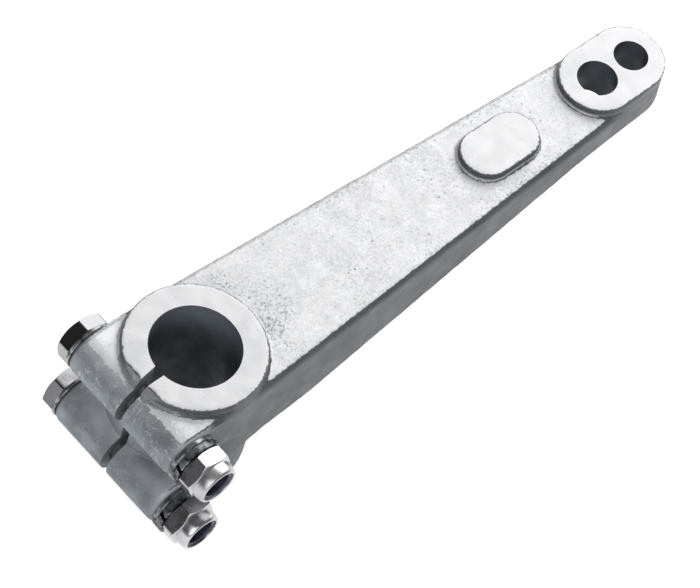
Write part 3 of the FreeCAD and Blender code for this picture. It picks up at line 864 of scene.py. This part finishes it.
# A bolt: head on the +Y side, shank to the tip, thread over its last stretch
def makeBolt(level):
    node = f"{level}_clamp_bolt"
    low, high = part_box(node)
    tip, top = low[1], high[1]
    corner = hexTurns[level]["head"]
    form = boltForm
    seat = top - form["headHeight"]
    radius = form["radius"]
    threadStart = tip + form["threadLength"]
    rows = int(form["threadLength"] / fastenerForm["pitch"] * form["stepsPerTurn"])

    def profileAt(angle):
        edge = hexRadius(angle, corner)
        drop = (edge - form["faceCircle"]) * math.tan(fastenerForm["chamferSlope"])
        rimStart, rimEnd = [form["faceCircle"] - inwards for inwards in form["dishRim"]]
        points = [(0.0, top - form["dish"]), (rimStart, top - form["dish"]), (rimEnd, top),
                  (form["faceCircle"], top), (edge, top - drop), (edge, seat + form["seatEdge"]),
                  (edge - form["seatEdge"], seat), (radius + form["neck"], seat)]
        points += roundCorner((radius, seat), form["neck"], 1, -1, quarter())
        for row in range(rows + 1):
            along = threadStart - form["threadLength"] * row / rows
            phase = (along / fastenerForm["pitch"] + angle / math.tau) % 1.0
            crest, flank = form["threadShape"]
            groove = form["threadDepth"] * max(0.0, min(1.0, crest - abs(phase - 0.5) * flank))
            groove *= min(1.0, row / form["stepsPerTurn"])
            limit = radius - form["tipChamfer"] + max(0.0, along - tip)
            points.append((min(radius - groove, limit), along))
        points.append((0.0, tip))
        return points

    work = lathe(boltAxes[level], profileAt, hexAngles(corner), False)
    finishPiece(work, f"{level}ClampBolt", headSteel, node, fastenerForm)


# A lock nut: chamfered hexagon, domed collar and a lip rolled over the nylon
def makeLockNut(level):
    node = f"{level}_lock_nut"
    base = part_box(node)[1][1]
    corner = hexTurns[level]["nut"]
    form = nutForm

    def profileAt(angle):
        edge = hexRadius(angle, corner)
        drop = (edge - form["faceCircle"]) * math.tan(fastenerForm["chamferSlope"])
        thread = fastenerForm["threadRadius"]
        hexTop = form["hexHeight"]
        foot = form["collarFoot"]
        domeFoot = hexTop + form["collarStraight"]
        lipOuter = form["mouth"] + form["lip"] * form["lipShare"]
        lipTop = form["height"]
        face = form["faceCircle"]
        points = [(thread, form["countersink"]), (thread + form["countersink"], 0.0), (face, 0.0),
                  (edge, drop), (edge, hexTop - drop), (face, hexTop),
                  (form["collar"] + foot, hexTop + form["collarStep"]), (form["collar"], hexTop + foot)]
        fuller, steeper = form["domeShape"]
        for step in range(form["domeSteps"] + 1):
            part = math.pi / 2 * step / form["domeSteps"]
            reach = lipOuter + (form["collar"] - lipOuter) * math.cos(part) ** fuller
            points.append((reach, domeFoot + (lipTop - domeFoot) * math.sin(part) ** steeper))
        points += roundCorner((form["mouth"], lipTop), form["lipRound"], 1, -1, quarter())
        points += [(form["mouth"], lipTop - form["lip"]), (form["pocket"], lipTop - form["lip"]),
                   (form["pocket"], form["seat"]), (thread, form["seat"])]
        return [(reach, base - along) for reach, along in points]

    work = lathe(boltAxes[level], profileAt, hexAngles(corner), True)
    finishPiece(work, f"{level}LockNut", nutSteel, node, fastenerForm)


# A ring's section with rounded corners, from its inner to its outer radius
def ringSection(inner, outer, low, high, innerRound, outerRound):
    rising = quarter()
    falling = rising[::-1]
    return (roundCorner((outer, high), outerRound, -1, -1, rising)
            + roundCorner((outer, low), outerRound, -1, 1, falling)
            + roundCorner((inner, low), innerRound, 1, 1, rising)
            + roundCorner((inner, high), innerRound, 1, -1, falling))


# A closed ring in the place of a packed one: its radii and its corners' rounds, inner and outer
def makeRing(level, kind, radii, rounds, material):
    node = f"{level}_{kind}"
    low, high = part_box(node)
    section = ringSection(*radii, low[1], high[1], *rounds)
    work = lathe(boltAxes[level], lambda angle: section, roundAngles(), True)
    name = level + "".join(word.title() for word in kind.split("_"))
    finishPiece(work, name, material, node, ringForm)


def makeWasher(level, kind):
    radii = (fastenerForm["washerHole"], ringForm["washerRadius"])
    makeRing(level, kind, radii, (ringForm["innerRound"], ringForm["outerRound"]), washerSteel)


def makeNylonRing(level):
    radii = (ringForm["nylonHole"], ringForm["nylonRadius"])
    makeRing(level, "nylon_ring", radii, (ringForm["nylonRound"], ringForm["nylonEdge"]), nylon)


# A spring washer: a thick ring with one slanting cut
def makeSpringWasher(level):
    node = f"{level}_spring_washer"
    low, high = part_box(node)
    middle = (low[1] + high[1]) / 2
    section = ringSection(fastenerForm["washerHole"], ringForm["springRadius"], low[1], high[1],
                          ringForm["innerRound"], ringForm["outerRound"])
    half = ringForm["splitWidth"] / 2
    turns = ringForm["turns"]

    # Both ends are flat and lean alike, so a point's turn depends on its radius and its place along the bolt
    def profileAt(step):
        points = []
        for radius, along in section:
            lean = -(along - middle) * math.tan(ringForm["splitLean"])
            start = math.asin((lean + half) / radius)
            end = math.tau + math.asin((lean - half) / radius)
            turn = start + (end - start) * step / turns + math.radians(ringForm["splitTurn"])
            points.append((radius, along, turn))
        return points

    work = lathe(boltAxes[level], profileAt, range(turns + 1), True, closedTurn=False)
    finishPiece(work, f"{level}SpringWasher", springSteel, node, ringForm)


# Groups of touching faces that lie in one plane
def findFlats(source):
    flats = []
    seen = set()
    for first in source.faces:
        if first in seen:
            continue
        seen.add(first)
        flat = [first]
        for face in flat:
            for edge in face.edges:
                for other in edge.link_faces:
                    if other not in seen and other.normal.dot(first.normal) > castForm["sameFlat"]:
                        seen.add(other)
                        flat.append(other)
        flats.append(flat)
    return flats


# An origin and two directions in the flat, taken from its farthest points
def flatAxes(points):
    origin = points[0]
    far = max(points, key=lambda point: (point - origin).length)
    origin = max(points, key=lambda point: (point - far).length)
    across = (far - origin).normalized()
    aside = max(points, key=lambda point: (point - origin).cross(across).length) - origin
    up = (aside - across * aside.dot(across)).normalized()
    return origin, across, up


# Keeps the triangles inside the border: each crossing of it, from the outermost edges on, changes sides
def insideTriangles(triangles, edges, fromEdges):
    border = {frozenset(edge) for edge, origins in zip(edges, fromEdges) if origins}
    sides = [[frozenset(pair) for pair in ((one, two), (two, three), (three, one))]
             for one, two, three in triangles]
    beside = {}
    for index, pairs in enumerate(sides):
        for pair in pairs:
            beside.setdefault(pair, []).append(index)
    inside = {}
    queue = []
    for pair, touching in beside.items():
        if len(touching) == 1 and touching[0] not in inside:
            inside[touching[0]] = pair in border
            queue.append(touching[0])
    for index in queue:
        for pair in sides[index]:
            for other in beside[pair]:
                if other not in inside:
                    inside[other] = inside[index] != (pair in border)
                    queue.append(other)
    return [triangle for index, triangle in enumerate(triangles) if inside[index]]


# Fills each flat with even triangles that meet its neighbours' along shared borders
def evenMesh(source, step):
    result = bmesh.new()
    corners = {}
    borders = {}

    def cornerOf(vert):
        if vert not in corners:
            corners[vert] = result.verts.new(vert.co)
        return corners[vert]

    def borderOf(edge):
        if edge not in borders:
            start, end = edge.verts
            parts = max(1, math.ceil(edge.calc_length() / step))
            between = [result.verts.new(start.co.lerp(end.co, part / parts)) for part in range(1, parts)]
            borders[edge] = [cornerOf(start)] + between + [cornerOf(end)]
        return borders[edge]

    for flat in findFlats(source):
        members = set(flat)
        flatVerts = dict.fromkeys(vert for face in flat for vert in face.verts)
        origin, across, up = flatAxes([vert.co for vert in flatVerts])
        places = {}
        segments = []
        for face in flat:
            for edge in face.edges:
                if len(edge.link_faces) == 2 and all(other in members for other in edge.link_faces):
                    continue
                chain = borderOf(edge)
                for vert in chain:
                    places.setdefault(vert, len(places))
                segments += [(places[one], places[two]) for one, two in zip(chain, chain[1:])]
        verts = list(places)
        points = [Vector(((vert.co - origin).dot(across), (vert.co - origin).dot(up))) / mm for vert in verts]
        points += innerPoints(points, step / mm)
        first = max(flat, key=lambda face: face.calc_area())
        flip = first.normal.dot(across.cross(up)) < 0
        made, edges, triangles, sources, fromEdges, _ = delaunay_2d_cdt(points, segments, [], 0, 1e-6)
        fresh = {}
        for triangle in insideTriangles(triangles, edges, fromEdges):
            spots = []
            for corner in triangle:
                if corner not in fresh:
                    old = min(sources[corner], default=len(verts))
                    place = origin + (across * made[corner].x + up * made[corner].y) * mm
                    fresh[corner] = verts[old] if old < len(verts) else result.verts.new(place)
                spots.append(fresh[corner])
            if len(set(spots)) == 3 and result.faces.get(spots) is None:
                result.faces.new(reversed(spots) if flip else spots)
    return result


# A triangular grid inside the points' box, clear of the points themselves
def innerPoints(points, step):
    low = Vector((min(point.x for point in points), min(point.y for point in points)))
    high = Vector((max(point.x for point in points), max(point.y for point in points)))
    rowStep = step * math.sqrt(3) / 2
    rows = int((high.y - low.y) / rowStep) + 1
    columns = int((high.x - low.x) / step) + 1
    if min(high.x - low.x, high.y - low.y) < step:
        return []
    border = KDTree(len(points))
    for index, point in enumerate(points):
        border.insert(point.to_3d(), index)
    border.balance()
    inner = []
    for row in range(rows):
        for column in range(columns):
            point = low + Vector(((column + 0.5 * (row % 2)) * step, row * rowStep))
            if border.find(point.to_3d())[2] > castForm["gridGap"] * step:
                inner.append(point)
    return inner


# How far a point lies from the machined walls: bore, end holes, slit, bolt holes and the lugs' end faces
def machinedDistance(point):
    gaps = [abs(math.hypot(point.x, point.y) - castForm["boreRadius"])]
    gaps += [abs(math.hypot(point.x - reach, point.y) - radius) for reach, radius in castForm["endHoles"]]
    if point.x < -castForm["boreRadius"] / 2:
        gaps.append(abs(abs(point.y) - castForm["slitHalf"]))
        gaps.append(abs(abs(point.y) - castForm["lugFace"]))
    for acrossX, upZ in boltAxes.values():
        gaps.append(abs(math.hypot(point.x - acrossX, point.z - upZ) - fastenerForm["boltHole"]))
    return min(gaps)


# 0 up to start, 1 from end on
def rise(value, start, end):
    return min(1.0, max(0.0, (value - start) / (end - start)))


# Marks the cast edges, on which the material draws a thin line of painted shade
def markEdges(work):
    rim = work.verts.layers.float.new("rim")
    limit = math.radians(castForm["sharpAngle"])
    for edge in work.edges:
        upright = max(face.normal.z for face in edge.link_faces)
        if edge.calc_face_angle() > limit and upright > castForm["upright"]:
            for vert in edge.verts:
                if machinedDistance(vert.co) > castForm["machinedEdge"]:
                    vert[rim] = 1.0


# The arm's sides lean outwards a little towards the underside
def leanSides(work):
    form = castForm
    for vert in work.verts:
        x, y, z = vert.co
        along = rise(x, 0.0, form["levelStart"])
        lowest = form["rootDepth"] + (form["endDepth"] - form["rootDepth"]) * along
        aside = Vector((max(0.0, x - form["endCentre"]), y, 0.0))
        amount = rise(x, *form["flareStart"]) * rise(aside.length, *form["flareClear"])
        amount *= form["flare"] * rise(-z, form["padHeight"], lowest)
        if amount > 0.0:
            vert.co = vert.co + aside.normalized() * amount
    work.normal_update()


# Rounds the cast edges: points near them drift to the middle of their neighbours
def softenEdges(work):
    form = castForm
    limit = math.radians(form["sharpAngle"])
    edgePoints = []
    for edge in work.edges:
        if edge.calc_face_angle() > limit:
            middle = (edge.verts[0].co + edge.verts[1].co) / 2
            if machinedDistance(middle) > form["machinedEdge"]:
                atPadTop = abs(middle.z) < form["topBand"]
                edgePoints.append((middle, form["topEdgeShare"] if atPadTop else 1.0))
    near = KDTree(len(edgePoints))
    for index, (place, _) in enumerate(edgePoints):
        near.insert(place, index)
    near.balance()
    drift = {}
    for vert in work.verts:
        _, index, distance = near.find(vert.co)
        share = (1.0 - distance / form["softZone"]) * edgePoints[index][1]
        share *= min(1.0, machinedDistance(vert.co) / form["cleanMargin"])
        if share > 0.0:
            drift[vert] = share * form["softShare"]
    for _ in range(form["softTurns"]):
        moved = {}
        for vert, share in drift.items():
            around = [edge.other_vert(vert).co for edge in vert.link_edges]
            moved[vert] = vert.co.lerp(sum(around, Vector()) / len(around), share)
        for vert, place in moved.items():
            vert.co = place
    work.normal_update()


# Small dents on the arm's top and sides, at seeded places
def makeDents(work):
    form = castForm
    dice = random.Random(form["seed"])
    skin = [vert for vert in work.verts
            if vert.co.x > form["dentReach"] and machinedDistance(vert.co) > form["dentClear"]]
    dents = KDTree(form["dentCount"])
    sizes = []
    for index in range(form["dentCount"]):
        vert = dice.choice(skin)
        dents.insert(vert.co, index)
        sizes.append((dice.uniform(*form["dentRadius"]), dice.uniform(*form["dentDepth"])))
    dents.balance()
    for vert in skin:
        _, index, distance = dents.find(vert.co)
        radius, depth = sizes[index]
        if distance < radius:
            vert.co = vert.co - vert.normal * depth * (0.5 + 0.5 * math.cos(math.pi * distance / radius))


# Waves and ripples of the cast skin; none on machined faces and little on the pads' tops
def roughenSkin(work):
    form = castForm
    shift = {}
    for vert in work.verts:
        share = min(1.0, max(0.0, machinedDistance(vert.co) - form["cleanStart"]) / form["cleanMargin"])
        if abs(vert.co.z) < form["padBand"]:
            share *= form["padShare"]
        wave = noise.noise(vert.co / form["waveSize"]) * form["wave"]
        ripple = noise.noise(vert.co / form["rippleSize"]) * form["ripple"]
        shift[vert] = vert.normal * share * (wave + ripple)
    for vert, move in shift.items():
        vert.co = vert.co + move


# The lugs on the head side are drawn in towards the slit
def closeSlit(work):
    form = castForm
    for vert in work.verts:
        if vert.co.y > 0.0:
            near = 1.0 - rise(vert.co.y, form["slitHalf"], form["slitCloseDeep"])
            vert.co.y -= form["slitClose"] * rise(vert.co.x, *form["slitCloseFrom"]) * near


def makeCastArm():
    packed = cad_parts["arm_casting"]
    source = bmesh.new()
    source.from_mesh(packed.data)
    bmesh.ops.remove_doubles(source, verts=source.verts, dist=1e-6)
    work = evenMesh(source, castForm["step"])
    source.free()
    work.normal_update()
    markEdges(work)
    leanSides(work)
    softenEdges(work)
    makeDents(work)
    roughenSkin(work)
    closeSlit(work)
    finishPiece(work, "castArm", castMetal, "arm_casting", castForm)


makeCastArm()
print("casting made")
for level in ("upper", "lower"):
    makeBolt(level)
    makeLockNut(level)
    makeNylonRing(level)
    makeSpringWasher(level)
    for kind in ("head_washer", "nut_washer"):
        makeWasher(level, kind)
print("fasteners made")


def makeFloor():
    place = (*studio["middle"][:2], cadBounds[0][2] - studio["floorGap"])
    bpy.ops.mesh.primitive_plane_add(size=studio["floorSize"], location=place)
    floor = bpy.context.object
    floor.name = "floor"
    floor.data.materials.append(floorMaterial())


def makeLight(name, position, target, size, power):
    data = bpy.data.lights.new(name, "AREA")
    data.shape = "SQUARE"
    data.size = size
    data.energy = power
    lamp = bpy.data.objects.new(name, data)
    lamp.location = position
    lamp.rotation_euler = (target - position).to_track_quat("-Z", "Y").to_euler()
    bpy.context.scene.collection.objects.link(lamp)


def makeStudio():
    middle = Vector(studio["middle"])
    for name in ("key", "fill"):
        position = middle + Vector(studio[f"{name}Way"]).normalized() * studio[f"{name}Distance"]
        makeLight(f"{name}Light", position, middle, studio[f"{name}Size"], studio[f"{name}Power"])
    world = bpy.data.worlds.new("studio")
    world.use_nodes = True
    tree = world.node_tree
    wayX = splitNode(addNode(tree, "ShaderNodeTexCoord").outputs["Generated"])[0]
    light = ramp(wayX, studio["darkFrom"], studio["darkTo"], studio["worldDark"], studio["worldBright"])
    background = tree.nodes["Background"]
    background.inputs["Color"].default_value = (1.0, 1.0, 1.0, 1.0)
    tree.links.new(light, background.inputs["Strength"])
    bpy.context.scene.world = world
    bpy.context.scene.view_settings.view_transform = "Standard"


cameraSetup = {
    "azimuth": -58.592,
    "elevation": 55.997,
    "roll": 19.522,
    "distance": 1186.5,
    "aside": 47.64,
    "above": 16.25,
    "lens": 197.64,
    "sensor": 36.0,
    "farthest": 20.0,
}


def makeCamera():
    turn = math.radians(cameraSetup["azimuth"])
    lift = math.radians(cameraSetup["elevation"])
    roll = math.radians(cameraSetup["roll"])
    back = Vector((math.sin(turn) * math.cos(lift), -math.cos(turn) * math.cos(lift), math.sin(lift)))
    level = Vector((math.cos(turn), math.sin(turn), 0.0))
    upright = back.cross(level)
    right = math.cos(roll) * level + math.sin(roll) * upright
    up = back.cross(right)
    place = (cameraSetup["aside"] * right + cameraSetup["above"] * up + cameraSetup["distance"] * back) * mm
    data = bpy.data.cameras.new("photoCamera")
    data.lens = cameraSetup["lens"]
    data.sensor_width = cameraSetup["sensor"]
    data.clip_end = cameraSetup["farthest"]
    camera = bpy.data.objects.new("photoCamera", data)
    camera.matrix_world = Matrix((right, up, back)).transposed().to_4x4()
    camera.location = place
    bpy.context.scene.collection.objects.link(camera)
    bpy.context.scene.camera = camera


makeFloor()
makeStudio()
makeCamera()
print("studio made")
